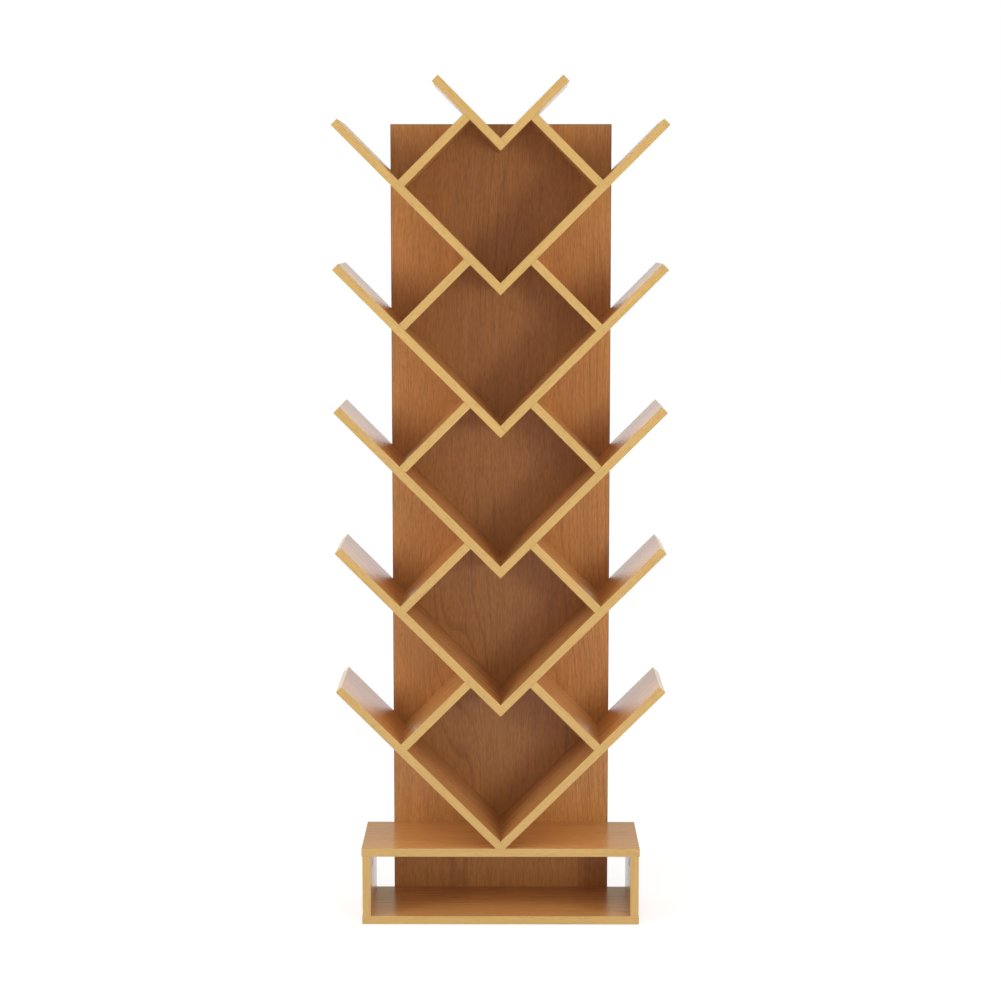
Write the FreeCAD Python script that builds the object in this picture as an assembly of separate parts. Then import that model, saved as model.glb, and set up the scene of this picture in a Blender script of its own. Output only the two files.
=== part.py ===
"""Free-standing shelving unit: six V-shaped shelves stacked on a low base box.

Each V is two boards that meet at a right angle. Pairs of short dividers stand
square on the arms of one V and carry the next, so that each space between two
Vs has the outline of a heart. Everything is screwed to one tall back panel.

Frame: +Z up, +X to the right seen from the front, the front edges towards -Y.
The origin is on the floor, below the middle of the unit. Millimetres.
"""
import FreeCAD, Part
import math
import os

os.makedirs("parts", exist_ok=True)

# Boards and their edge bands
board_thickness = 15.0
band_thickness = 0.8
shelf_depth = 185.0

# Back panel
panel_width = 400.0
panel_thickness = 15.0
panel_above_top_v = 32.0

# Base box
base_width = 500.0
base_height = 140.0
base_top_overhang = 1.5
base_bottom_overhang = 0.8

# V shelves, measured along an arm from the inner corner of the V
v_count = 6
arm_length = 400.0
top_arm_length = 153.0
foot_flat_width = 17.0

# Dividers: where they stand on an arm, and the clear height between two Vs
divider_from_corner = 236.2
divider_length = 161.4

# Screws, by the radius of head and shank, the depth of the head and the length
long_screw = {"head": 4.8, "shank": 2.5, "head_depth": 2.8, "length": 50.0}
panel_screw = {"head": 4.2, "shank": 2.2, "head_depth": 2.4, "length": 40.0}
foot_screw = {"head": 4.2, "shank": 2.2, "head_depth": 2.4, "length": 30.0}
screw_hole_clearance = 0.25

# Dowels, which stand in a blind hole in a board's face
dowel_radius = 4.0
dowel_length = 30.0
dowel_depth_in_face = 10.0

# Screws and dowels are drawn with flat sides, to keep the model light
round_sides = 8

# Where the fasteners sit
fastener_inset = 50.0
panel_screw_side_margin = 32.0
panel_screw_top_margin = 20.0
arm_screw_from_corner = 60.0
foot_screw_offset = 5.0

# Cam locks that draw the side panels up to the base's top board
cam_radius = 7.5
cam_clearance = 0.15
cam_back_wall = 2.5
cam_drop = 24.0
cam_slot_width = 2.0
cam_slot_depth = 1.5
bolt_radius = 3.0
bolt_length_in_top = 11.0
bolt_clearance = 0.3

# Sizes that follow from the ones above
slope = math.sqrt(0.5)
front_y = -(shelf_depth + panel_thickness) / 2
core_front_y = front_y + band_thickness
panel_y = front_y + shelf_depth
back_y = panel_y + panel_thickness
v_pitch = (divider_length + board_thickness) / slope
first_v_z = base_height + board_thickness / slope - foot_flat_width / 2
v_corner_z = [first_v_z + v_pitch * number for number in range(v_count)]
panel_height = v_corner_z[-1] + panel_above_top_v
side_outer_x = base_width / 2 - base_top_overhang
base_bottom_width = 2 * (side_outer_x + base_bottom_overhang)
side_mid_x = side_outer_x - board_thickness / 2
fastener_rows_y = [front_y + fastener_inset, panel_y - fastener_inset]
outer_screw_x = panel_width / 2 - panel_screw_side_margin

LEFT = -1
RIGHT = 1
SIDES = {"left": LEFT, "right": RIGHT}
UP = FreeCAD.Vector(0, 0, 1)
FORWARD = FreeCAD.Vector(0, -1, 0)

boards = {}
bands = {}
hardware = {}


def slab(corners, y_from, y_to):
    """A prism on an outline of (x, z) corners, from one depth to another."""
    points = [FreeCAD.Vector(x, y_from, z) for x, z in corners]
    outline = Part.makePolygon(points + points[:1])
    return Part.Face(outline).extrude(FreeCAD.Vector(0, y_to - y_from, 0))


def level_box(x_range, y_range, z_range):
    """A box with its sides along the axes."""
    size = [high - low for low, high in (x_range, y_range, z_range)]
    return Part.makeBox(*size, FreeCAD.Vector(x_range[0], y_range[0], z_range[0]))


def on_arm(side, corner_z, along, below):
    """The (x, z) of a point on a V's arm, along it and below its upper face."""
    return side * (along + below) * slope, corner_z + (along - below) * slope


def tilted_box(side, corner_z, along_range, below_range, y_range):
    """A box whose sides follow an arm of the V with its inner corner at corner_z."""
    start, end = along_range
    top, bottom = below_range
    corners = [(start, top), (end, top), (end, bottom), (start, bottom)]
    return slab([on_arm(side, corner_z, *corner) for corner in corners], *y_range)


def rod(profile, position, direction):
    """A rod through rings of (radius, depth), drawn with flat sides, sunk from position."""
    angles = [2 * math.pi * step / round_sides for step in range(round_sides)]
    rings = [
        [FreeCAD.Vector(radius * math.cos(turn), radius * math.sin(turn), depth) for turn in angles]
        for radius, depth in profile
    ]
    outlines = [rings[0][::-1], rings[-1]]
    for upper, lower in zip(rings, rings[1:]):
        for corner in range(round_sides):
            previous = corner - 1
            outlines.append([upper[previous], upper[corner], lower[corner], lower[previous]])
    faces = [Part.Face(Part.makePolygon(outline + outline[:1])) for outline in outlines]
    solid = Part.Solid(Part.Shell(faces))
    solid.Placement = FreeCAD.Placement(position, FreeCAD.Rotation(UP, direction))
    return solid


def screw_solid(size, position, direction):
    """A countersunk screw, without its thread and its point."""
    profile = [(size["head"], 0), (size["shank"], size["head_depth"]), (size["shank"], size["length"])]
    return rod(profile, position, direction)


def screw_hole(size, position, direction, depth):
    """A clearance hole whose countersink carries the screw's head."""
    radius = size["shank"] + screw_hole_clearance
    cone_share = (size["head"] - radius) / (size["head"] - size["shank"])
    profile = [(size["head"], 0), (radius, size["head_depth"] * cone_share), (radius, depth)]
    return rod(profile, position, direction)


def drive_screw(group, size, position, direction, through, into):
    """Adds a flush screw that passes through one board and bites into others."""
    thickness = panel_thickness if through == "back_panel" else board_thickness
    screw = screw_solid(size, position, direction)
    boards[through] = boards[through].cut(screw_hole(size, position, direction, thickness))
    for name in into:
        boards[name] = boards[name].cut(screw)
    hardware.setdefault(group, []).append(screw)


def set_dowel(group, position, direction, into_face, into_end):
    """Adds a dowel at a joint: direction points into the board whose face it enters."""
    foot = position + direction * (dowel_depth_in_face - dowel_length)
    dowel = rod([(dowel_radius, 0), (dowel_radius, dowel_length)], foot, direction)
    for name in (into_face, into_end):
        boards[name] = boards[name].cut(dowel)
    hardware.setdefault(group, []).append(dowel)


def add_v_arm(number, side_name, length, corner_z):
    """One arm of a V, with its edge bands. The left arm runs past the right one's end."""
    side = SIDES[side_name]
    stands_on_base = number == 1
    laps_the_corner = side == LEFT
    name = f"v_shelf_{number}_{side_name}"
    thickness_range = (0, board_thickness)
    core_depth = (core_front_y, panel_y)
    end = -board_thickness if laps_the_corner else 0
    has_corner_band = laps_the_corner and not stands_on_base
    core_end = end + band_thickness if has_corner_band else end
    core_tip = length - band_thickness

    core = tilted_box(side, corner_z, (core_end, core_tip), thickness_range, core_depth)
    strips = [
        tilted_box(side, corner_z, (end, length), thickness_range, (front_y, core_front_y)),
        tilted_box(side, corner_z, (core_tip, length), thickness_range, core_depth),
    ]
    if has_corner_band:
        strip = tilted_box(side, corner_z, (end, core_end), thickness_range, core_depth)
        strips.append(strip)
    if stands_on_base:
        reach = arm_length + board_thickness
        below_base_top = level_box((-reach, reach), (front_y, panel_y), (0, base_height))
        core = core.cut(below_base_top)
        strips = [strip.cut(below_base_top) for strip in strips]
    boards[name] = core
    bands[f"{name}_bands"] = strips


def add_divider(number, side_name, corner_z):
    """A short board that stands square on an arm and carries the next V's arm."""
    side = SIDES[side_name]
    along_range = (divider_from_corner, divider_from_corner + board_thickness)
    height_range = (-divider_length, 0)
    core = tilted_box(side, corner_z, along_range, height_range, (core_front_y, panel_y))
    band = tilted_box(side, corner_z, along_range, height_range, (front_y, core_front_y))
    boards[f"divider_{number}_{side_name}"] = core
    bands.setdefault(f"divider_{side_name}_bands", []).append(band)


def add_level_board(name, width, underside):
    """A level board of the base box, banded on its front edge and both ends."""
    half = width / 2
    core_half = half - band_thickness
    z_range = (underside, underside + board_thickness)
    core_depth = (core_front_y, panel_y)
    boards[name] = level_box((-core_half, core_half), core_depth, z_range)
    bands[f"{name}_bands"] = [
        level_box((-half, half), (front_y, core_front_y), z_range),
        level_box((-half, -core_half), core_depth, z_range),
        level_box((core_half, half), core_depth, z_range),
    ]


def add_base_side(side_name):
    """A side panel of the base box, between its bottom board and its top board."""
    side = SIDES[side_name]
    x_range = sorted((side * side_outer_x, side * (side_outer_x - board_thickness)))
    z_range = (board_thickness, base_height - board_thickness)
    boards[f"base_side_{side_name}"] = level_box(x_range, (core_front_y, panel_y), z_range)
    band = level_box(x_range, (front_y, core_front_y), z_range)
    bands.setdefault("base_side_bands", []).append(band)


def add_back_panel():
    """The tall panel behind everything, banded on its two sides and its top."""
    half = panel_width / 2
    core_half = half - band_thickness
    core_top = panel_height - band_thickness
    depth = (panel_y, back_y)
    boards["back_panel"] = level_box((-core_half, core_half), depth, (0, core_top))
    bands["back_panel_bands"] = [
        level_box((-half, -core_half), depth, (0, core_top)),
        level_box((core_half, half), depth, (0, core_top)),
        level_box((-half, half), depth, (core_top, panel_height)),
    ]


def screw_from_behind(name, x, z):
    """A screw through the back panel into a board's rear edge."""
    position = FreeCAD.Vector(x, back_y, z)
    drive_screw("back_panel_screws", panel_screw, position, FORWARD, "back_panel", [name])


def fasten_v_to_panel(number, side_name, corner_z):
    """Two screws into each arm's rear edge, or one where the panel ends."""
    side = SIDES[side_name]
    mid = board_thickness / 2
    if number == v_count:
        height_over_corner = panel_above_top_v - panel_screw_top_margin
        places = [height_over_corner / slope + mid]
    else:
        places = [arm_screw_from_corner, outer_screw_x / slope - mid]
    for along in places:
        x, z = on_arm(side, corner_z, along, mid)
        screw_from_behind(f"v_shelf_{number}_{side_name}", x, z)


def fasten_divider_to_panel(number, side_name, corner_z):
    """One screw at the middle of a divider's rear edge."""
    along = divider_from_corner + board_thickness / 2
    x, z = on_arm(SIDES[side_name], corner_z, along, -divider_length / 2)
    screw_from_behind(f"divider_{number}_{side_name}", x, z)


def fasten_divider_ends(number, side_name, corner_z):
    """Screws through the arm below into a divider's foot, and dowels into the arm above."""
    side = SIDES[side_name]
    divider = f"divider_{number}_{side_name}"
    arm_below = f"v_shelf_{number}_{side_name}"
    arm_above = f"v_shelf_{number + 1}_{side_name}"
    up_the_divider = FreeCAD.Vector(-side * slope, 0, slope)
    along = divider_from_corner + board_thickness / 2
    foot_x, foot_z = on_arm(side, corner_z, along, board_thickness)
    top_x, top_z = on_arm(side, corner_z, along, -divider_length)
    for y in fastener_rows_y:
        start = FreeCAD.Vector(foot_x, y, foot_z)
        drive_screw("divider_screws", long_screw, start, up_the_divider, arm_below, [divider])
        joint = FreeCAD.Vector(top_x, y, top_z)
        set_dowel("divider_dowels", joint, up_the_divider, arm_above, divider)


def fasten_v_corner(number, corner_z):
    """Screws through the left arm's underside into the end of the right arm."""
    left_arm = f"v_shelf_{number}_left"
    right_arm = f"v_shelf_{number}_right"
    up_the_right_arm = FreeCAD.Vector(slope, 0, slope)
    x, z = on_arm(LEFT, corner_z, -board_thickness / 2, board_thickness)
    for y in fastener_rows_y:
        start = FreeCAD.Vector(x, y, z)
        drive_screw("v_corner_screws", long_screw, start, up_the_right_arm, left_arm, [right_arm])


def fasten_first_v_to_base():
    """Screws from below the base's top board, through the flat foot of the lowest V."""
    underside = base_height - board_thickness
    arms = ["v_shelf_1_left", "v_shelf_1_right"]
    for y in fastener_rows_y:
        start = FreeCAD.Vector(foot_screw_offset, y, underside)
        drive_screw("foot_screws", foot_screw, start, UP, "base_top", arms)


def fasten_base_bottom(side_name):
    """Screws from below through the bottom board into a side panel's lower end."""
    side_panel = f"base_side_{side_name}"
    for y in fastener_rows_y:
        start = FreeCAD.Vector(SIDES[side_name] * side_mid_x, y, 0)
        drive_screw("base_screws", long_screw, start, UP, "base_bottom", [side_panel])


def fasten_base_top(side_name):
    """A cam lock near the front of a side panel's top end, and a dowel near its rear."""
    side = SIDES[side_name]
    side_panel = f"base_side_{side_name}"
    joint_z = base_height - board_thickness
    front_row_y, rear_row_y = fastener_rows_y
    joint = FreeCAD.Vector(side * side_mid_x, rear_row_y, joint_z)
    set_dowel("base_dowels", joint, UP, "base_top", side_panel)

    cam_z = joint_z - cam_drop
    cam_depth = board_thickness - cam_back_wall
    outward = FreeCAD.Vector(side, 0, 0)
    face_x = side * (side_outer_x - board_thickness)
    face_centre = FreeCAD.Vector(face_x, front_row_y, cam_z)
    bolt_foot = FreeCAD.Vector(side * side_mid_x, front_row_y, cam_z)
    bore_radius = bolt_radius + bolt_clearance
    bolt = rod([(bolt_radius, 0), (bolt_radius, cam_drop + bolt_length_in_top)], bolt_foot, UP)
    bore = rod([(bore_radius, 0), (bore_radius, cam_drop)], bolt_foot, UP)
    pocket = Part.makeCylinder(cam_radius + cam_clearance, cam_depth, face_centre, outward)
    cam = Part.makeCylinder(cam_radius, cam_depth, face_centre, outward)
    half_slot = cam_radius * slope
    slot = level_box(
        sorted((face_x, face_x + side * cam_slot_depth)),
        (front_row_y - half_slot, front_row_y + half_slot),
        (cam_z - cam_slot_width / 2, cam_z + cam_slot_width / 2),
    )
    boards[side_panel] = boards[side_panel].cut(pocket).cut(bore)
    boards["base_top"] = boards["base_top"].cut(bolt)
    hardware.setdefault("cam_locks", []).append(cam.cut(bore).cut(slot))
    hardware.setdefault("cam_bolts", []).append(bolt)


def build_boards():
    """Every board, with its edge bands."""
    add_back_panel()
    add_level_board("base_bottom", base_bottom_width, 0)
    add_level_board("base_top", base_width, base_height - board_thickness)
    for side_name in SIDES:
        add_base_side(side_name)
        for number, corner_z in enumerate(v_corner_z, start=1):
            is_top = number == v_count
            length = top_arm_length if is_top else arm_length
            add_v_arm(number, side_name, length, corner_z)
            if not is_top:
                add_divider(number, side_name, corner_z)


def build_fasteners():
    """Every screw, dowel and cam lock, with the holes that they sit in."""
    fasten_first_v_to_base()
    for number, corner_z in enumerate(v_corner_z, start=1):
        if number > 1:
            fasten_v_corner(number, corner_z)
    for side_name, side in SIDES.items():
        fasten_base_bottom(side_name)
        for name, underside in (("base_bottom", 0), ("base_top", base_height - board_thickness)):
            screw_from_behind(name, side * outer_screw_x, underside + board_thickness / 2)
        fasten_base_top(side_name)
        for number, corner_z in enumerate(v_corner_z, start=1):
            fasten_v_to_panel(number, side_name, corner_z)
            if number < v_count:
                fasten_divider_to_panel(number, side_name, corner_z)
                fasten_divider_ends(number, side_name, corner_z)


def write_parts():
    """One file for each board, and one for each group of bands or fasteners."""
    for name, shape in boards.items():
        shape.exportStep(f"parts/{name}.step")
    for name, solids in list(bands.items()) + list(hardware.items()):
        Part.makeCompound(solids).exportStep(f"parts/{name}.step")


build_boards()
build_fasteners()
write_parts()
print(f"overall height {v_corner_z[-1] + top_arm_length * slope:.1f} mm")
print(f"overall width {2 * (arm_length + board_thickness) * slope:.1f} mm")
print(f"overall depth {back_y - front_y:.1f} mm")
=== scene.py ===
"""Looks of the shelving unit: wood finishes, edge bands, screws, cam locks, studio and camera.

Everything is in metres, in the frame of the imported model: +Z up, +X to the right seen
from the front, the front edges towards -Y, the origin on the floor below the middle.
"""
import math
import random

import bmesh
import bpy
from mathutils import Matrix, Vector


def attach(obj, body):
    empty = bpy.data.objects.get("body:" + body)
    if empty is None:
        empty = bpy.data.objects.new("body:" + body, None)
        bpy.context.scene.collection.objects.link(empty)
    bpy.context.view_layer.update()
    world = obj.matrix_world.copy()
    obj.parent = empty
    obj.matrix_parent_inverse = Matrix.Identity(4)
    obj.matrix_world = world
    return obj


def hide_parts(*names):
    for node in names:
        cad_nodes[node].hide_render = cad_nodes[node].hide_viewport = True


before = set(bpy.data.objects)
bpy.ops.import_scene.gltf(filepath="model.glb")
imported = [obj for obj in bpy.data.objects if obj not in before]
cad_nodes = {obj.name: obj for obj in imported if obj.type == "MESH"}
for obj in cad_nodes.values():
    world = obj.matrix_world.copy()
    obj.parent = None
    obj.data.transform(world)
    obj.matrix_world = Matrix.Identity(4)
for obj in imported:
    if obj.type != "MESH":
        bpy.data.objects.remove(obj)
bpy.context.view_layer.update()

# Camera, as fitted to the photograph
PHOTO_SIDE_PX = 1001
FOCAL_LENGTH_PX = 2254.65
SENSOR_WIDTH_MM = 36.0
CAMERA_PLACE = Vector((0.01447, -4.04044, 1.25122))
CAMERA_TILT_DOWN = 0.1216
CAMERA_TURN_LEFT = 0.0037

# Boards and their edge bands
MM = 0.001
SLOPE = math.sqrt(0.5)
BOARD_THICKNESS = 15 * MM
BAND_THICKNESS = 0.8 * MM
BAND_ROUNDING = 0.6 * MM
BAND_ROUNDING_STEPS = 3
FRONT_Y = -100 * MM
PANEL_Y = 85 * MM
BACK_Y = 100 * MM

# V shelves and dividers, measured along an arm from the inner corner of the V
V_COUNT = 6
ARM_LENGTH = 400 * MM
TOP_ARM_LENGTH = 153 * MM
DIVIDER_FROM_CORNER = 236.2 * MM
DIVIDER_LENGTH = 161.4 * MM
FOOT_FLAT_WIDTH = 17 * MM

# Base box and back panel
BASE_WIDTH = 500 * MM
BASE_HEIGHT = 140 * MM
BASE_TOP_OVERHANG = 1.5 * MM
BASE_BOTTOM_OVERHANG = 0.8 * MM
PANEL_WIDTH = 400 * MM
PANEL_ABOVE_TOP_V = 32 * MM

# Sizes that follow from the ones above
V_PITCH = (DIVIDER_LENGTH + BOARD_THICKNESS) / SLOPE
FIRST_V_Z = BASE_HEIGHT + BOARD_THICKNESS / SLOPE - FOOT_FLAT_WIDTH / 2
V_CORNER_Z = [FIRST_V_Z + V_PITCH * number for number in range(V_COUNT)]
PANEL_HEIGHT = V_CORNER_Z[-1] + PANEL_ABOVE_TOP_V
SIDE_OUTER_X = BASE_WIDTH / 2 - BASE_TOP_OVERHANG
BASE_BOTTOM_WIDTH = 2 * (SIDE_OUTER_X + BASE_BOTTOM_OVERHANG)

# Fasteners: where they sit, then the radius of a head and a shank, the head's depth and the length
FASTENER_ROWS_Y = (FRONT_Y + 50 * MM, PANEL_Y - 50 * MM)
PANEL_SCREW_X = 168 * MM
ARM_SCREW_FROM_CORNER = 60 * MM
TOP_V_SCREW_HEIGHT = 12 * MM
FOOT_SCREW_X = 5 * MM
HEAD_BELOW_FACE = 0.1 * MM
LONG_SCREW = {"head": 4.35 * MM, "shank": 2.4 * MM, "head_depth": 2.7 * MM, "length": 49 * MM}
PANEL_SCREW = {"head": 3.8 * MM, "shank": 2.1 * MM, "head_depth": 2.3 * MM, "length": 39 * MM}
FOOT_SCREW = {**PANEL_SCREW, "length": 29 * MM}
CAM_RADIUS = 7.4 * MM
CAM_DEPTH = 12.4 * MM
CAM_BELOW_JOINT = 24 * MM
RING_STEPS = 24
HEAD_CHAMFER = 0.15 * MM
SCREW_POINT_LENGTH = 4 * MM
SCREW_POINT_RADIUS = 0.2 * MM

# Cross recesses: reach, half width and depth. A screw's are shares of its head's radius and depth.
# At its bottom a recess is narrower by CROSS_TAPER
SCREW_CROSS = {"reach": 0.58, "half_width": 0.13, "depth": 0.55}
CAM_CROSS = (3.4 * MM, 0.9 * MM, 1.6 * MM)
CROSS_TAPER = 0.6

# The shallow dish in a cam lock's face, its outer edge, and how far the lock is turned
CAM_DISH_RADII = (5.4 * MM, 5.9 * MM)
CAM_DISH_DEPTH = 0.5 * MM
CAM_CHAMFER = 0.3 * MM
CAM_TURN_DEGREES = 12

LEFT = -1
RIGHT = 1
SIDES = {"left": LEFT, "right": RIGHT}

# Directions of the grain, as turns in degrees that bring it to X: in the front view, or to the depth
LEVEL = (0, 0, 0)
RISING_RIGHT = (0, 45, 0)
UPRIGHT = (0, 90, 0)
RISING_LEFT = (0, 135, 0)
FRONT_TO_BACK = (0, 0, 90)

# Wood: the middle tones, in linear light, and what the markings do to them
FACE_TONE = (0.630, 0.297, 0.089)
BAND_TONE = (0.653, 0.409, 0.137)
# The back panel's band is near black-brown: a painted dark line standing for the reflection and shade
# seen along the panel's edges
PANEL_BAND_TONE = (0.090, 0.047, 0.026)
DOWEL_TONE = (0.600, 0.415, 0.240)
CHIP_TONES = ((0.640, 0.450, 0.250), (0.400, 0.250, 0.125))
LIGHTER = (1.30, 1.33, 1.38)
DARKER = (0.70, 0.67, 0.62)
PORES = (0.52, 0.46, 0.40)
STEEL_TONE = (0.63, 0.62, 0.60)
ZINC_TONE = (0.50, 0.50, 0.51)
METAL_DARKER = (0.82, 0.82, 0.82)

# How strongly each kind of marking shows, how many long streaks there are to the metre along the
# grain and across it, and how much the fine relief shows
PANEL_MARKS = {
    "figure": 0.45, "rings": 0.26, "long": 0.95, "short": 0.50, "speckle": 0.10, "pores": 0.30,
    "along": 13.0, "across": 620.0, "relief": 0.05,
}
BOARD_MARKS = {
    "figure": 0.40, "rings": 0.06, "long": 0.30, "short": 0.06, "speckle": 0.0, "pores": 0.05,
    "along": 6.0, "across": 240.0, "relief": 0.008,
}
BAND_MARKS = {
    "figure": 0.20, "rings": 0.06, "long": 0.45, "short": 0.22, "speckle": 0.04, "pores": 0.20,
    "along": 9.0, "across": 480.0, "relief": 0.01,
}
FACE_ROUGHNESS = 0.30
BAND_ROUGHNESS = 0.30
CHIP_ROUGHNESS = 0.85
LACQUER = 0.80
LACQUER_ROUGHNESS = 0.27
DOWEL_ROUGHNESS = 0.60
STEEL_ROUGHNESS = 0.32
ZINC_ROUGHNESS = 0.44

# Densities of the other markings, per metre: along the grain, then twice across it
SLOW_WANDER = (2.2, 7.0, 7.0)
BROAD_FIGURE = (1.3, 34.0, 34.0)
SHORT_STREAKS = (70.0, 680.0, 680.0)
OPEN_PORES = (80.0, 760.0, 760.0)
FINE_FIBRES = (120.0, 900.0, 900.0)
SPECKLE = (300.0, 800.0, 800.0)
RING_BENDS = (1.5, 9.0, 9.0)
RING_PARTS = (0.9, 7.0, 7.0)
RING_SPACING = (0.0, 80.0, 80.0)
RING_BEND_REACH = 14.0
WANDER_REACH = 30 * MM
CHIPS_PER_METRE = 680.0
CRUMBS_PER_METRE = 900.0
STEEL_MOTTLE = 3 * MM
ZINC_MOTTLE = 1.2 * MM
RELIEF_DEPTH = 0.12 * MM
METAL_RELIEF_DEPTH = 0.05 * MM

# Between which values a marking fades in, or a face counts as turned straight back
MIDDLE_OF_NOISE = (0.3, 0.7)
MOST_OF_NOISE = (0.2, 0.8)
RING_LINE = (0.70, 0.96)
RINGS_SHOWN = (0.46, 0.60)
PORES_SHOWN = (0.62, 0.72)
STRAIGHT_BACK = (0.90, 0.98)

# How far the markings change the gloss, and what makes up the chipboard's tone and the relief
WOOD_GLOSS_CHANGE = 0.03
METAL_GLOSS_CHANGE = 0.06
CHIPS_SHARE = 0.6
FIBRES_IN_RELIEF = 0.35
METAL_RELIEF = 0.05

# Light: the room's own, which rises towards straight up, and what of the room a gloss shows. Pairs
# are how far up or back something has to lie. Then the soft square lamps by name, turn to the
# right in degrees, distance, height, size and power in watts
AMBIENT_LEVEL = 0.38
AMBIENT_ABOVE = 0.80
AMBIENT_RISES = (0.2, 0.9)
SEEN_IN_FRONT = 0.05
SEEN_WHITE_FROM = (-0.25, 0.15)
SEEN_HIGH_UP = (0.28, 0.24, 0.08)
SEEN_HIGH_UP_FROM = (0.10, 0.34)
FLOOR_SEEN_IN_FRONT = 0.15
FLOOR_SEEN_WHITE_FROM = (-0.12, 0.10)
LAMPS = (
    ("left", -60, 3.0, 1.85, 1.3, 43),
    ("right", 60, 3.0, 1.85, 1.3, 32),
    ("low", 28, 3.5, 0.79, 0.7, 16),
    ("high", 0, 2.6, 3.2, 1.2, 5),
)
LAMP_TARGET = Vector((0.0, 0.0, 0.75))

# Floor: its reach, its tone, and how it looks close to the object and far from it
FLOOR_REACH = 14.0
FLOOR_TONE = (0.8, 0.8, 0.8)
FLOOR_CLOSE = 0.7
FLOOR_FAR = 2.2
SHADOWED_SHARE_CLOSE = 0.55
SHADOWED_SHARE_FAR = 0.02
GLOW_CLOSE = 0.58
GLOW_FAR = 1.0


def new_material(name):
    """An empty node material with its shader; returns the material, its tree and the shader."""
    material = bpy.data.materials.new(name)
    material.use_nodes = True
    tree = material.node_tree
    tree.nodes.clear()
    output = tree.nodes.new("ShaderNodeOutputMaterial")
    shader = tree.nodes.new("ShaderNodeBsdfPrincipled")
    tree.links.new(shader.outputs["BSDF"], output.inputs["Surface"])
    return material, tree, shader


def put(tree, socket, value):
    """Links a socket to another node's output, or sets it to a plain value."""
    if isinstance(value, bpy.types.NodeSocket):
        tree.links.new(value, socket)
    else:
        socket.default_value = value


def math_node(tree, operation, first, second=0.0, third=0.0):
    node = tree.nodes.new("ShaderNodeMath")
    node.operation = operation
    for socket, value in zip(node.inputs, (first, second, third)):
        put(tree, socket, value)
    return node.outputs[0]


def vector_node(tree, operation, first, second):
    node = tree.nodes.new("ShaderNodeVectorMath")
    node.operation = operation
    put(tree, node.inputs[0], first)
    put(tree, node.inputs[1], second)
    return node.outputs["Value"] if operation == "DOT_PRODUCT" else node.outputs["Vector"]


def noise(tree, coordinates, density, detail=2.0, roughness=0.5):
    """A noise from 0 to 1 with its own density, per metre, along each axis of the grain."""
    node = tree.nodes.new("ShaderNodeTexNoise")
    node.inputs["Scale"].default_value = 1.0
    node.inputs["Detail"].default_value = detail
    node.inputs["Roughness"].default_value = roughness
    put(tree, node.inputs["Vector"], vector_node(tree, "MULTIPLY", coordinates, density))
    return node.outputs["Fac"]


def remap(tree, value, low, high, to_low=0.0, to_high=1.0):
    node = tree.nodes.new("ShaderNodeMapRange")
    node.interpolation_type = "SMOOTHSTEP"
    for name, number in zip(
        ("Value", "From Min", "From Max", "To Min", "To Max"), (value, low, high, to_low, to_high)
    ):
        put(tree, node.inputs[name], number)
    return node.outputs["Result"]


def mix_colour(tree, share, first, second):
    node = tree.nodes.new("ShaderNodeMix")
    node.data_type = "RGBA"
    sockets = {socket.identifier: socket for socket in node.inputs}
    for name, value in (("Factor_Float", share), ("A_Color", first), ("B_Color", second)):
        if isinstance(value, tuple):
            value = (*value, 1.0)
        put(tree, sockets[name], value)
    return next(s for s in node.outputs if s.identifier == "Result_Color")


def bump(tree, shader, height, strength, distance):
    node = tree.nodes.new("ShaderNodeBump")
    node.inputs["Strength"].default_value = strength
    node.inputs["Distance"].default_value = distance
    put(tree, node.inputs["Height"], height)
    put(tree, shader.inputs["Normal"], node.outputs["Normal"])


def object_place(tree):
    return tree.nodes.new("ShaderNodeTexCoord").outputs["Object"]


def grain_coordinates(tree, lean):
    """Places on the object turned so that X runs along the grain, with a slow wander."""
    turn = tree.nodes.new("ShaderNodeMapping")
    turn.inputs["Rotation"].default_value = [math.radians(angle) for angle in lean]
    put(tree, turn.inputs["Vector"], object_place(tree))
    straight = turn.outputs["Vector"]
    drift = noise(tree, straight, SLOW_WANDER, detail=1.0)
    offset = math_node(tree, "MULTIPLY", math_node(tree, "SUBTRACT", drift, 0.5), WANDER_REACH)
    combine = tree.nodes.new("ShaderNodeCombineXYZ")
    put(tree, combine.inputs["Y"], offset)
    put(tree, combine.inputs["Z"], offset)
    return vector_node(tree, "ADD", straight, combine.outputs["Vector"])


def chipboard(tree):
    """The pressed chips that show on a board's bare edge."""
    place = object_place(tree)
    cells = tree.nodes.new("ShaderNodeTexVoronoi")
    cells.inputs["Scale"].default_value = 1.0
    put(tree, cells.inputs["Vector"], vector_node(tree, "MULTIPLY", place, (CHIPS_PER_METRE,) * 3))
    shades = tree.nodes.new("ShaderNodeSeparateColor")
    put(tree, shades.inputs[0], cells.outputs["Color"])
    crumbs = math_node(tree, "MULTIPLY", noise(tree, place, (CRUMBS_PER_METRE,) * 3), 1 - CHIPS_SHARE)
    share = math_node(tree, "MULTIPLY_ADD", shades.outputs[0], CHIPS_SHARE, crumbs)
    return mix_colour(tree, remap(tree, share, *MOST_OF_NOISE), CHIP_TONES[1], CHIP_TONES[0])


def faces_rearward(tree):
    """1 on faces that look straight back, 0 elsewhere."""
    normal = tree.nodes.new("ShaderNodeTexCoord").outputs["Normal"]
    return remap(tree, vector_node(tree, "DOT_PRODUCT", normal, (0.0, 1.0, 0.0)), *STRAIGHT_BACK)


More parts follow.
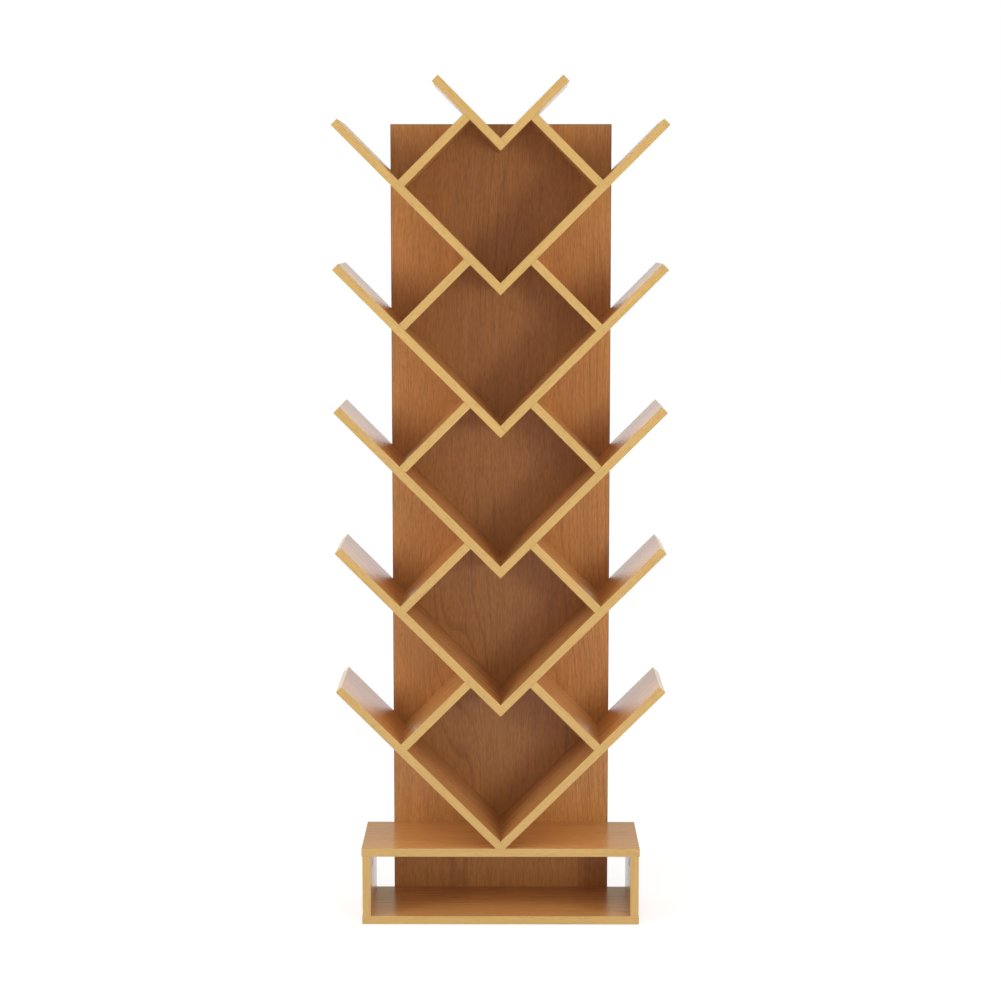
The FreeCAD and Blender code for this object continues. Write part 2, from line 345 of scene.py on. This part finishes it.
def growth_rings(tree, grain):
    """Thin dark lines that wander and arch along the grain, in some parts only."""
    bend = math_node(tree, "MULTIPLY", noise(tree, grain, RING_BENDS, detail=1.0), RING_BEND_REACH)
    across = vector_node(tree, "DOT_PRODUCT", grain, RING_SPACING)
    step = math_node(tree, "FRACT", math_node(tree, "ADD", across, bend))
    parts = remap(tree, noise(tree, grain, RING_PARTS, detail=1.0), *RINGS_SHOWN)
    return math_node(tree, "MULTIPLY", remap(tree, step, *RING_LINE), parts)


def toned(tone, factors):
    """A tone with each of its parts multiplied."""
    return tuple(part * factor for part, factor in zip(tone, factors))


def wood(name, lean, tone, marks, roughness, bare_rear_edge=False, lacquered=True):
    """Wood with broad figure, growth rings, fine streaks and short open pores along the grain."""
    material, tree, shader = new_material(name)
    grain = grain_coordinates(tree, lean)
    long_streaks = noise(tree, grain, (marks["along"], marks["across"], marks["across"]), detail=1.0)
    short_streaks = noise(tree, grain, SHORT_STREAKS, detail=0.0)
    speckle = noise(tree, grain, SPECKLE, detail=0.0)
    layers = (
        (noise(tree, grain, BROAD_FIGURE, detail=3.0, roughness=0.55), marks["figure"]),
        (long_streaks, marks["long"]),
        (short_streaks, marks["short"]),
        (speckle, marks["speckle"]),
    )
    share = math_node(tree, "MULTIPLY_ADD", growth_rings(tree, grain), -marks["rings"], 0.5)
    for layer, strength in layers:
        share = math_node(tree, "MULTIPLY_ADD", math_node(tree, "SUBTRACT", layer, 0.5), strength, share)
    colour = mix_colour(tree, share, toned(tone, DARKER), toned(tone, LIGHTER))
    pores = remap(tree, noise(tree, grain, OPEN_PORES, detail=0.0), *PORES_SHOWN)
    veil = math_node(tree, "MULTIPLY", pores, marks["pores"])
    colour = mix_colour(tree, veil, colour, toned(tone, PORES))
    fine = noise(tree, grain, FINE_FIBRES, detail=1.0)
    duller, glossier = roughness + WOOD_GLOSS_CHANGE, roughness - WOOD_GLOSS_CHANGE
    gloss = remap(tree, long_streaks, *MIDDLE_OF_NOISE, duller, glossier)
    if bare_rear_edge:
        bare = faces_rearward(tree)
        colour = mix_colour(tree, bare, colour, chipboard(tree))
        gloss = math_node(tree, "MAXIMUM", gloss, math_node(tree, "MULTIPLY", bare, CHIP_ROUGHNESS))
    put(tree, shader.inputs["Base Color"], colour)
    put(tree, shader.inputs["Roughness"], gloss)
    if lacquered:
        shader.inputs["Coat Weight"].default_value = LACQUER
        shader.inputs["Coat Roughness"].default_value = LACQUER_ROUGHNESS
    relief = math_node(tree, "ADD", fine, speckle)
    height = math_node(tree, "SUBTRACT", math_node(tree, "MULTIPLY", relief, FIBRES_IN_RELIEF), pores)
    bump(tree, shader, height, marks["relief"], RELIEF_DEPTH)
    return material


def metal(name, tone, roughness, grain_size):
    """Bare metal with a faint mottle in its tone and gloss."""
    material, tree, shader = new_material(name)
    density = 1 / grain_size
    mottle = noise(tree, object_place(tree), (density, density, density), detail=3.0)
    share = remap(tree, mottle, *MIDDLE_OF_NOISE)
    duller, glossier = roughness + METAL_GLOSS_CHANGE, roughness - METAL_GLOSS_CHANGE
    gloss = remap(tree, mottle, *MIDDLE_OF_NOISE, duller, glossier)
    put(tree, shader.inputs["Base Color"], mix_colour(tree, share, toned(tone, METAL_DARKER), tone))
    put(tree, shader.inputs["Roughness"], gloss)
    shader.inputs["Metallic"].default_value = 1.0
    bump(tree, shader, mottle, METAL_RELIEF, METAL_RELIEF_DEPTH)
    return material


LEAN_NAMES = {
    LEVEL: "level",
    RISING_RIGHT: "rising_right",
    UPRIGHT: "upright",
    RISING_LEFT: "rising_left",
    FRONT_TO_BACK: "front_to_back",
}
face_woods = {
    lean: wood(f"board_face_{LEAN_NAMES[lean]}", lean, FACE_TONE, BOARD_MARKS, FACE_ROUGHNESS, True)
    for lean in (LEVEL, RISING_RIGHT, UPRIGHT, RISING_LEFT)
}
band_woods = {
    lean: wood(f"oak_band_{LEAN_NAMES[lean]}", lean, BAND_TONE, BAND_MARKS, BAND_ROUGHNESS)
    for lean in LEAN_NAMES
}
panel_wood = wood("panel_face", UPRIGHT, FACE_TONE, PANEL_MARKS, FACE_ROUGHNESS)
panel_band_wood = wood("panel_band_upright", UPRIGHT, PANEL_BAND_TONE, BAND_MARKS, BAND_ROUGHNESS)
panel_top_band_wood = wood("panel_band_level", LEVEL, PANEL_BAND_TONE, BAND_MARKS, BAND_ROUGHNESS)
dowel_wood = wood("dowel_wood", LEVEL, DOWEL_TONE, BOARD_MARKS, DOWEL_ROUGHNESS, lacquered=False)
steel = metal("zinc_plated_steel", STEEL_TONE, STEEL_ROUGHNESS, STEEL_MOTTLE)
zinc = metal("cast_zinc", ZINC_TONE, ZINC_ROUGHNESS, ZINC_MOTTLE)


def dress(node, material):
    """Gives a node of the model a finish."""
    for slot in cad_nodes[node].material_slots:
        slot.material = material


def arm_lean(side):
    return RISING_RIGHT if side == RIGHT else RISING_LEFT


def divider_lean(side):
    return arm_lean(-side)


def dress_boards():
    """Finishes on everything that the model itself shows."""
    for side_name, side in SIDES.items():
        for number in range(1, V_COUNT + 1):
            dress(f"v_shelf_{number}_{side_name}", face_woods[arm_lean(side)])
        for number in range(1, V_COUNT):
            dress(f"divider_{number}_{side_name}", face_woods[divider_lean(side)])
        dress(f"base_side_{side_name}", face_woods[UPRIGHT])
    for node in ("base_top", "base_bottom"):
        dress(node, face_woods[LEVEL])
    dress("back_panel", panel_wood)
    for node in ("divider_dowels", "base_dowels"):
        dress(node, dowel_wood)
    dress("cam_bolts", steel)


def add_piece(name, shape, materials, nodes):
    """Turns a finished bmesh into a piece that stands for nodes of the model."""
    bmesh.ops.recalc_face_normals(shape, faces=shape.faces)
    mesh = bpy.data.meshes.new(name)
    shape.to_mesh(mesh)
    shape.free()
    for material in materials:
        mesh.materials.append(material)
    piece = bpy.data.objects.new(name, mesh)
    bpy.context.scene.collection.objects.link(piece)
    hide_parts(*nodes)
    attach(piece, "root")


def on_arm(side, corner_z, along, below):
    """The (x, z) of a point on a V's arm, along it and below its upper face."""
    return side * (along + below) * SLOPE, corner_z + (along - below) * SLOPE


def inset(path, distance):
    """A path of (u, v) points with square corners, moved to its left side."""
    steps = [Vector(b) - Vector(a) for a, b in zip(path, path[1:])]
    sideways = [Vector((-step.y, step.x)).normalized() * distance for step in steps]
    moved = []
    for number, point in enumerate(path):
        before = sideways[number - 1] if number > 0 else Vector((0.0, 0.0))
        after = sideways[number] if number < len(sideways) else Vector((0.0, 0.0))
        moved.append(Vector(point) + before + after)
    return moved


def add_band(shape, path, place):
    """A band along the outside of a board's edges, with its outer arrises rounded.

    path is the band's outer line, with the board on its left. place turns a point of the
    path and a distance across the board's thickness into a point of the object.
    """
    near, far, near_inside, far_inside = [
        [shape.verts.new(place(*point, across)) for point in line]
        for line in (path, inset(path, BAND_THICKNESS))
        for across in (0.0, BOARD_THICKNESS)
    ]
    for number in range(len(path) - 1):
        after = number + 1
        shape.faces.new((near[number], near[after], far[after], far[number]))
        shape.faces.new((near_inside[number], far_inside[number], far_inside[after], near_inside[after]))
        shape.faces.new((near[number], near_inside[number], near_inside[after], near[after]))
        shape.faces.new((far[number], far[after], far_inside[after], far_inside[number]))
    for end in (0, -1):
        shape.faces.new((near[end], far[end], far_inside[end], near_inside[end]))
    arrises = [shape.edges.get(pair) for loop in (near, far) for pair in zip(loop, loop[1:])]
    arrises += [shape.edges.get(pair) for pair in zip(near[1:-1], far[1:-1])]
    bmesh.ops.bevel(
        shape, geom=arrises, offset=BAND_ROUNDING, offset_type="OFFSET",
        segments=BAND_ROUNDING_STEPS, profile=0.5, affect="EDGES", clamp_overlap=True,
    )


def cut_off_below(shape, height):
    """Cuts a shape level and closes it again."""
    parts = shape.verts[:] + shape.edges[:] + shape.faces[:]
    cut = bmesh.ops.bisect_plane(
        shape, geom=parts, plane_co=(0.0, 0.0, height), plane_no=(0.0, 0.0, -1.0), clear_outer=True
    )
    rim = [part for part in cut["geom_cut"] if isinstance(part, bmesh.types.BMEdge)]
    bmesh.ops.holes_fill(shape, edges=rim, sides=0)


def turn_grain_where(shape, test):
    """Gives the second finish to the faces whose middle passes the test."""
    for face in shape.faces:
        if test(face.calc_center_median()):
            face.material_index = 1


def behind_front_band(middle):
    return middle.y > FRONT_Y + BAND_THICKNESS


def add_arm_bands(number, side_name):
    """The bands on an arm's front edge and tip, and on the left arm's corner end."""
    side = SIDES[side_name]
    corner_z = V_CORNER_Z[number - 1]
    length = TOP_ARM_LENGTH if number == V_COUNT else ARM_LENGTH
    start = -BOARD_THICKNESS if side == LEFT else 0.0
    path = [(start, FRONT_Y), (length, FRONT_Y), (length, PANEL_Y)]
    if side == LEFT and number > 1:
        path.insert(0, (start, PANEL_Y))

    def place(along, depth, below):
        x, z = on_arm(side, corner_z, along, below)
        return x, depth, z

    shape = bmesh.new()
    add_band(shape, path, place)
    if number == 1:
        cut_off_below(shape, BASE_HEIGHT)
    turn_grain_where(shape, behind_front_band)
    node = f"v_shelf_{number}_{side_name}_bands"
    finishes = (band_woods[arm_lean(side)], band_woods[FRONT_TO_BACK])
    add_piece(f"{node}_rounded", shape, finishes, [node])


def add_divider_bands(side_name):
    """The front bands of all dividers on one side."""
    side = SIDES[side_name]
    shape = bmesh.new()
    for corner_z in V_CORNER_Z[:-1]:

        def place(below, depth, across, corner_z=corner_z):
            x, z = on_arm(side, corner_z, DIVIDER_FROM_CORNER + across, below)
            return x, depth, z

        add_band(shape, [(-DIVIDER_LENGTH, FRONT_Y), (0.0, FRONT_Y)], place)
    node = f"divider_{side_name}_bands"
    add_piece(f"{node}_rounded", shape, [band_woods[divider_lean(side)]], [node])


def add_level_bands(board, width, underside):
    """The bands on the front edge and the ends of a level board of the base box."""
    half = width / 2
    shape = bmesh.new()
    path = [(-half, PANEL_Y), (-half, FRONT_Y), (half, FRONT_Y), (half, PANEL_Y)]
    add_band(shape, path, lambda x, depth, across: (x, depth, underside + across))
    turn_grain_where(shape, behind_front_band)
    node = f"{board}_bands"
    finishes = (band_woods[LEVEL], band_woods[FRONT_TO_BACK])
    add_piece(f"{node}_rounded", shape, finishes, [node])


def add_base_side_bands():
    """The front bands of the base box's side panels."""
    shape = bmesh.new()
    path = [(BOARD_THICKNESS, FRONT_Y), (BASE_HEIGHT - BOARD_THICKNESS, FRONT_Y)]
    for side in SIDES.values():
        add_band(shape, path, lambda z, depth, across: (side * (SIDE_OUTER_X - across), depth, z))
    add_piece("base_side_bands_rounded", shape, [band_woods[UPRIGHT]], ["base_side_bands"])


def add_panel_bands():
    """The band round the back panel's two sides and its top."""
    half = PANEL_WIDTH / 2
    shape = bmesh.new()
    path = [(half, 0.0), (half, PANEL_HEIGHT), (-half, PANEL_HEIGHT), (-half, 0.0)]
    add_band(shape, path, lambda x, z, across: (x, PANEL_Y + across, z))
    turn_grain_where(shape, lambda middle: middle.z > PANEL_HEIGHT - BAND_THICKNESS)
    finishes = (panel_band_wood, panel_top_band_wood)
    add_piece("back_panel_bands_rounded", shape, finishes, ["back_panel_bands"])


def cross_outline(reach, half_width):
    """The 24 corners of a cross recess, which start on its first arm."""
    middle = (reach + half_width) / 2
    quarter = [
        (reach, 0.0), (reach, half_width), (middle, half_width),
        (half_width, half_width), (half_width, middle), (half_width, reach),
    ]
    points = [Vector(point) for point in quarter]
    return [Matrix.Rotation(math.radians(90 * turn), 2) @ point for turn in range(4) for point in points]


def add_turned(shape, position, direction, turn, cross, rings):
    """A turned solid sunk along a direction, with a cross recess in its flat top.

    cross is the recess's reach, half width and depth. rings are (radius, depth) pairs.
    """
    sink = Vector(direction).to_track_quat("-Z", "Y").to_matrix().to_4x4()
    seat = Matrix.Translation(position) @ sink @ Matrix.Rotation(turn, 4, "Z")
    reach, half_width, depth = cross
    outline = cross_outline(reach, half_width)
    angles = [2 * math.pi * step / RING_STEPS for step in range(RING_STEPS)]
    top = rings[0][1]
    levels = [
        [(CROSS_TAPER * point.x, CROSS_TAPER * point.y, -top - depth) for point in outline],
        [(point.x, point.y, -top) for point in outline],
    ]
    for radius, below in rings:
        levels.append([(radius * math.cos(angle), radius * math.sin(angle), -below) for angle in angles])
    loops = [[shape.verts.new(seat @ Vector(point)) for point in level] for level in levels]
    for upper, lower in zip(loops, loops[1:]):
        for step in range(RING_STEPS):
            shape.faces.new((upper[step - 1], upper[step], lower[step], lower[step - 1]))
    shape.faces.new(loops[0])
    shape.faces.new(loops[-1])


def add_screws(node, size, seats):
    """Countersunk cross-head screws, each turned as it happened to stop."""
    chance = random.Random(node)
    head = size["head"]
    cross = (
        SCREW_CROSS["reach"] * head,
        SCREW_CROSS["half_width"] * head,
        SCREW_CROSS["depth"] * size["head_depth"],
    )
    rings = [
        (head - HEAD_CHAMFER, HEAD_BELOW_FACE),
        (head, HEAD_BELOW_FACE + HEAD_CHAMFER),
        (size["shank"], size["head_depth"]),
        (size["shank"], size["length"] - SCREW_POINT_LENGTH),
        (SCREW_POINT_RADIUS, size["length"]),
    ]
    shape = bmesh.new()
    for position, direction in seats:
        add_turned(shape, position, direction, chance.uniform(0.0, math.pi), cross, rings)
    add_piece(f"{node}_turned", shape, [steel], [node])


def panel_screw_seats():
    """Where the screws go through the back panel, with their direction."""
    middle = BOARD_THICKNESS / 2
    places = []
    for side in SIDES.values():
        for height in (middle, BASE_HEIGHT - middle):
            places.append((side * PANEL_SCREW_X, height))
        for corner_z in V_CORNER_Z[:-1]:
            for along in (ARM_SCREW_FROM_CORNER, PANEL_SCREW_X / SLOPE - middle):
                places.append(on_arm(side, corner_z, along, middle))
            places.append(on_arm(side, corner_z, DIVIDER_FROM_CORNER + middle, -DIVIDER_LENGTH / 2))
        places.append(on_arm(side, V_CORNER_Z[-1], TOP_V_SCREW_HEIGHT / SLOPE + middle, middle))
    return [((x, BACK_Y, z), (0.0, -1.0, 0.0)) for x, z in places]


def divider_screw_seats():
    seats = []
    for side in SIDES.values():
        for corner_z in V_CORNER_Z[:-1]:
            along = DIVIDER_FROM_CORNER + BOARD_THICKNESS / 2
            x, z = on_arm(side, corner_z, along, BOARD_THICKNESS)
            seats += [((x, y, z), (-side * SLOPE, 0.0, SLOPE)) for y in FASTENER_ROWS_Y]
    return seats


def corner_screw_seats():
    seats = []
    for corner_z in V_CORNER_Z[1:]:
        x, z = on_arm(LEFT, corner_z, -BOARD_THICKNESS / 2, BOARD_THICKNESS)
        seats += [((x, y, z), (SLOPE, 0.0, SLOPE)) for y in FASTENER_ROWS_Y]
    return seats


def add_fasteners():
    """The screws and the cam locks."""
    up = (0.0, 0.0, 1.0)
    top_underside = BASE_HEIGHT - BOARD_THICKNESS
    side_middle_x = SIDE_OUTER_X - BOARD_THICKNESS / 2
    foot_seats = [((FOOT_SCREW_X, y, top_underside), up) for y in FASTENER_ROWS_Y]
    base_seats = [
        ((side * side_middle_x, y, 0.0), up) for side in SIDES.values() for y in FASTENER_ROWS_Y
    ]
    add_screws("back_panel_screws", PANEL_SCREW, panel_screw_seats())
    add_screws("divider_screws", LONG_SCREW, divider_screw_seats())
    add_screws("v_corner_screws", LONG_SCREW, corner_screw_seats())
    add_screws("foot_screws", FOOT_SCREW, foot_seats)
    add_screws("base_screws", LONG_SCREW, base_seats)

    shape = bmesh.new()
    rings = [
        (CAM_DISH_RADII[0], CAM_DISH_DEPTH),
        (CAM_DISH_RADII[1], HEAD_BELOW_FACE),
        (CAM_RADIUS - CAM_CHAMFER, HEAD_BELOW_FACE),
        (CAM_RADIUS, HEAD_BELOW_FACE + CAM_CHAMFER),
        (CAM_RADIUS, CAM_DEPTH),
    ]
    side_inner_x = SIDE_OUTER_X - BOARD_THICKNESS
    cam_z = top_underside - CAM_BELOW_JOINT
    for side in SIDES.values():
        seat = (side * side_inner_x, FASTENER_ROWS_Y[0], cam_z)
        add_turned(shape, seat, (side, 0.0, 0.0), math.radians(CAM_TURN_DEGREES), CAM_CROSS, rings)
    add_piece("cam_locks_turned", shape, [zinc], ["cam_locks"])


def add_bands():
    """The edge bands of every board."""
    for side_name in SIDES:
        for number in range(1, V_COUNT + 1):
            add_arm_bands(number, side_name)
        add_divider_bands(side_name)
    add_level_bands("base_bottom", BASE_BOTTOM_WIDTH, 0.0)
    add_level_bands("base_top", BASE_WIDTH, BASE_HEIGHT - BOARD_THICKNESS)
    add_base_side_bands()
    add_panel_bands()


def light_path(tree):
    return tree.nodes.new("ShaderNodeLightPath").outputs


def seen_straight(tree):
    """1 for rays from the camera, a gloss or a glass, 0 for light that falls on the object."""
    path = light_path(tree)
    share = math_node(tree, "MAXIMUM", path["Is Camera Ray"], path["Is Glossy Ray"])
    return math_node(tree, "MAXIMUM", share, path["Is Transmission Ray"])


def build_world():
    """White to look at, soft light from above, and a dim room in front for the reflections."""
    world = bpy.data.worlds.new("studio")
    bpy.context.scene.world = world
    world.use_nodes = True
    tree = world.node_tree
    tree.nodes.clear()
    output = tree.nodes.new("ShaderNodeOutputWorld")
    background = tree.nodes.new("ShaderNodeBackground")
    direction = tree.nodes.new("ShaderNodeTexCoord").outputs["Generated"]
    rearward = vector_node(tree, "DOT_PRODUCT", direction, (0.0, 1.0, 0.0))
    upward = vector_node(tree, "DOT_PRODUCT", direction, (0.0, 0.0, 1.0))
    reflected = remap(tree, rearward, *SEEN_WHITE_FROM, SEEN_IN_FRONT, 1.0)
    in_gloss = light_path(tree)["Is Glossy Ray"]
    high_up = math_node(tree, "MULTIPLY", in_gloss, remap(tree, upward, *SEEN_HIGH_UP_FROM))
    put(tree, background.inputs["Color"], mix_colour(tree, high_up, (1.0, 1.0, 1.0), SEEN_HIGH_UP))
    by_direction = remap(tree, in_gloss, 0.0, 1.0, 1.0, reflected)
    ambient = remap(tree, upward, *AMBIENT_RISES, AMBIENT_LEVEL, AMBIENT_ABOVE)
    strength = remap(tree, seen_straight(tree), 0.0, 1.0, ambient, by_direction)
    put(tree, background.inputs["Strength"], strength)
    tree.links.new(background.outputs["Background"], output.inputs["Surface"])


def build_floor():
    """A pale floor, which shows white and keeps the object's shadow."""
    mesh = bpy.data.meshes.new("floor")
    reach = FLOOR_REACH
    corners = [(-reach, -reach, 0.0), (reach, -reach, 0.0), (reach, reach, 0.0), (-reach, reach, 0.0)]
    mesh.from_pydata(corners, [], [(0, 1, 2, 3)])
    floor = bpy.data.objects.new("floor", mesh)
    bpy.context.scene.collection.objects.link(floor)
    material = bpy.data.materials.new("floor")
    material.use_nodes = True
    tree = material.node_tree
    tree.nodes.clear()
    output = tree.nodes.new("ShaderNodeOutputMaterial")
    matt = tree.nodes.new("ShaderNodeBsdfDiffuse")
    matt.inputs["Color"].default_value = (*FLOOR_TONE, 1.0)

    from_middle = tree.nodes.new("ShaderNodeVectorMath")
    from_middle.operation = "LENGTH"
    put(tree, from_middle.inputs[0], object_place(tree))
    distance = from_middle.outputs["Value"]
    rearward = vector_node(tree, "DOT_PRODUCT", object_place(tree), (0.0, 1.0, 0.0))
    reflected = remap(tree, rearward, *FLOOR_SEEN_WHITE_FROM, FLOOR_SEEN_IN_FRONT, 1.0)
    dimmer = remap(tree, light_path(tree)["Is Glossy Ray"], 0.0, 1.0, 1.0, reflected)
    far = remap(tree, distance, FLOOR_CLOSE, FLOOR_FAR)
    veil = tree.nodes.new("ShaderNodeBsdfDiffuse")
    grey = tree.nodes.new("ShaderNodeCombineColor")
    shadowed = remap(tree, far, 0.0, 1.0, SHADOWED_SHARE_CLOSE, SHADOWED_SHARE_FAR)
    shade = math_node(tree, "MULTIPLY", shadowed, dimmer)
    for channel in grey.inputs:
        put(tree, channel, shade)
    put(tree, veil.inputs["Color"], grey.outputs[0])
    glow = tree.nodes.new("ShaderNodeEmission")
    seen = remap(tree, far, 0.0, 1.0, GLOW_CLOSE, GLOW_FAR)
    put(tree, glow.inputs["Strength"], math_node(tree, "MULTIPLY", seen, dimmer))
    both = tree.nodes.new("ShaderNodeAddShader")
    tree.links.new(veil.outputs[0], both.inputs[0])
    tree.links.new(glow.outputs[0], both.inputs[1])

    mix = tree.nodes.new("ShaderNodeMixShader")
    put(tree, mix.inputs["Fac"], seen_straight(tree))
    tree.links.new(matt.outputs[0], mix.inputs[1])
    tree.links.new(both.outputs[0], mix.inputs[2])
    tree.links.new(mix.outputs[0], output.inputs["Surface"])
    mesh.materials.append(material)


def add_lamp(name, turn, distance, height, size, watts):
    """A soft square lamp, turned to the right from straight in front of the object."""
    data = bpy.data.lights.new(name, "AREA")
    data.shape = "SQUARE"
    data.size = size
    data.energy = watts
    lamp = bpy.data.objects.new(name, data)
    angle = math.radians(turn)
    lamp.location = (distance * math.sin(angle), -distance * math.cos(angle), height)
    lamp.rotation_euler = (LAMP_TARGET - lamp.location).to_track_quat("-Z", "Y").to_euler()
    lamp.visible_glossy = False
    bpy.context.scene.collection.objects.link(lamp)


def build_camera():
    data = bpy.data.cameras.new("camera")
    data.sensor_width = SENSOR_WIDTH_MM
    data.lens = FOCAL_LENGTH_PX / PHOTO_SIDE_PX * SENSOR_WIDTH_MM
    camera = bpy.data.objects.new("camera", data)
    camera.location = CAMERA_PLACE
    camera.rotation_euler = (math.pi / 2 - CAMERA_TILT_DOWN, 0.0, CAMERA_TURN_LEFT)
    bpy.context.scene.collection.objects.link(camera)
    bpy.context.scene.camera = camera


dress_boards()
add_bands()
add_fasteners()
build_world()
build_floor()
for lamp in LAMPS:
    add_lamp(*lamp)
build_camera()
bpy.context.scene.view_settings.view_transform = "Standard"
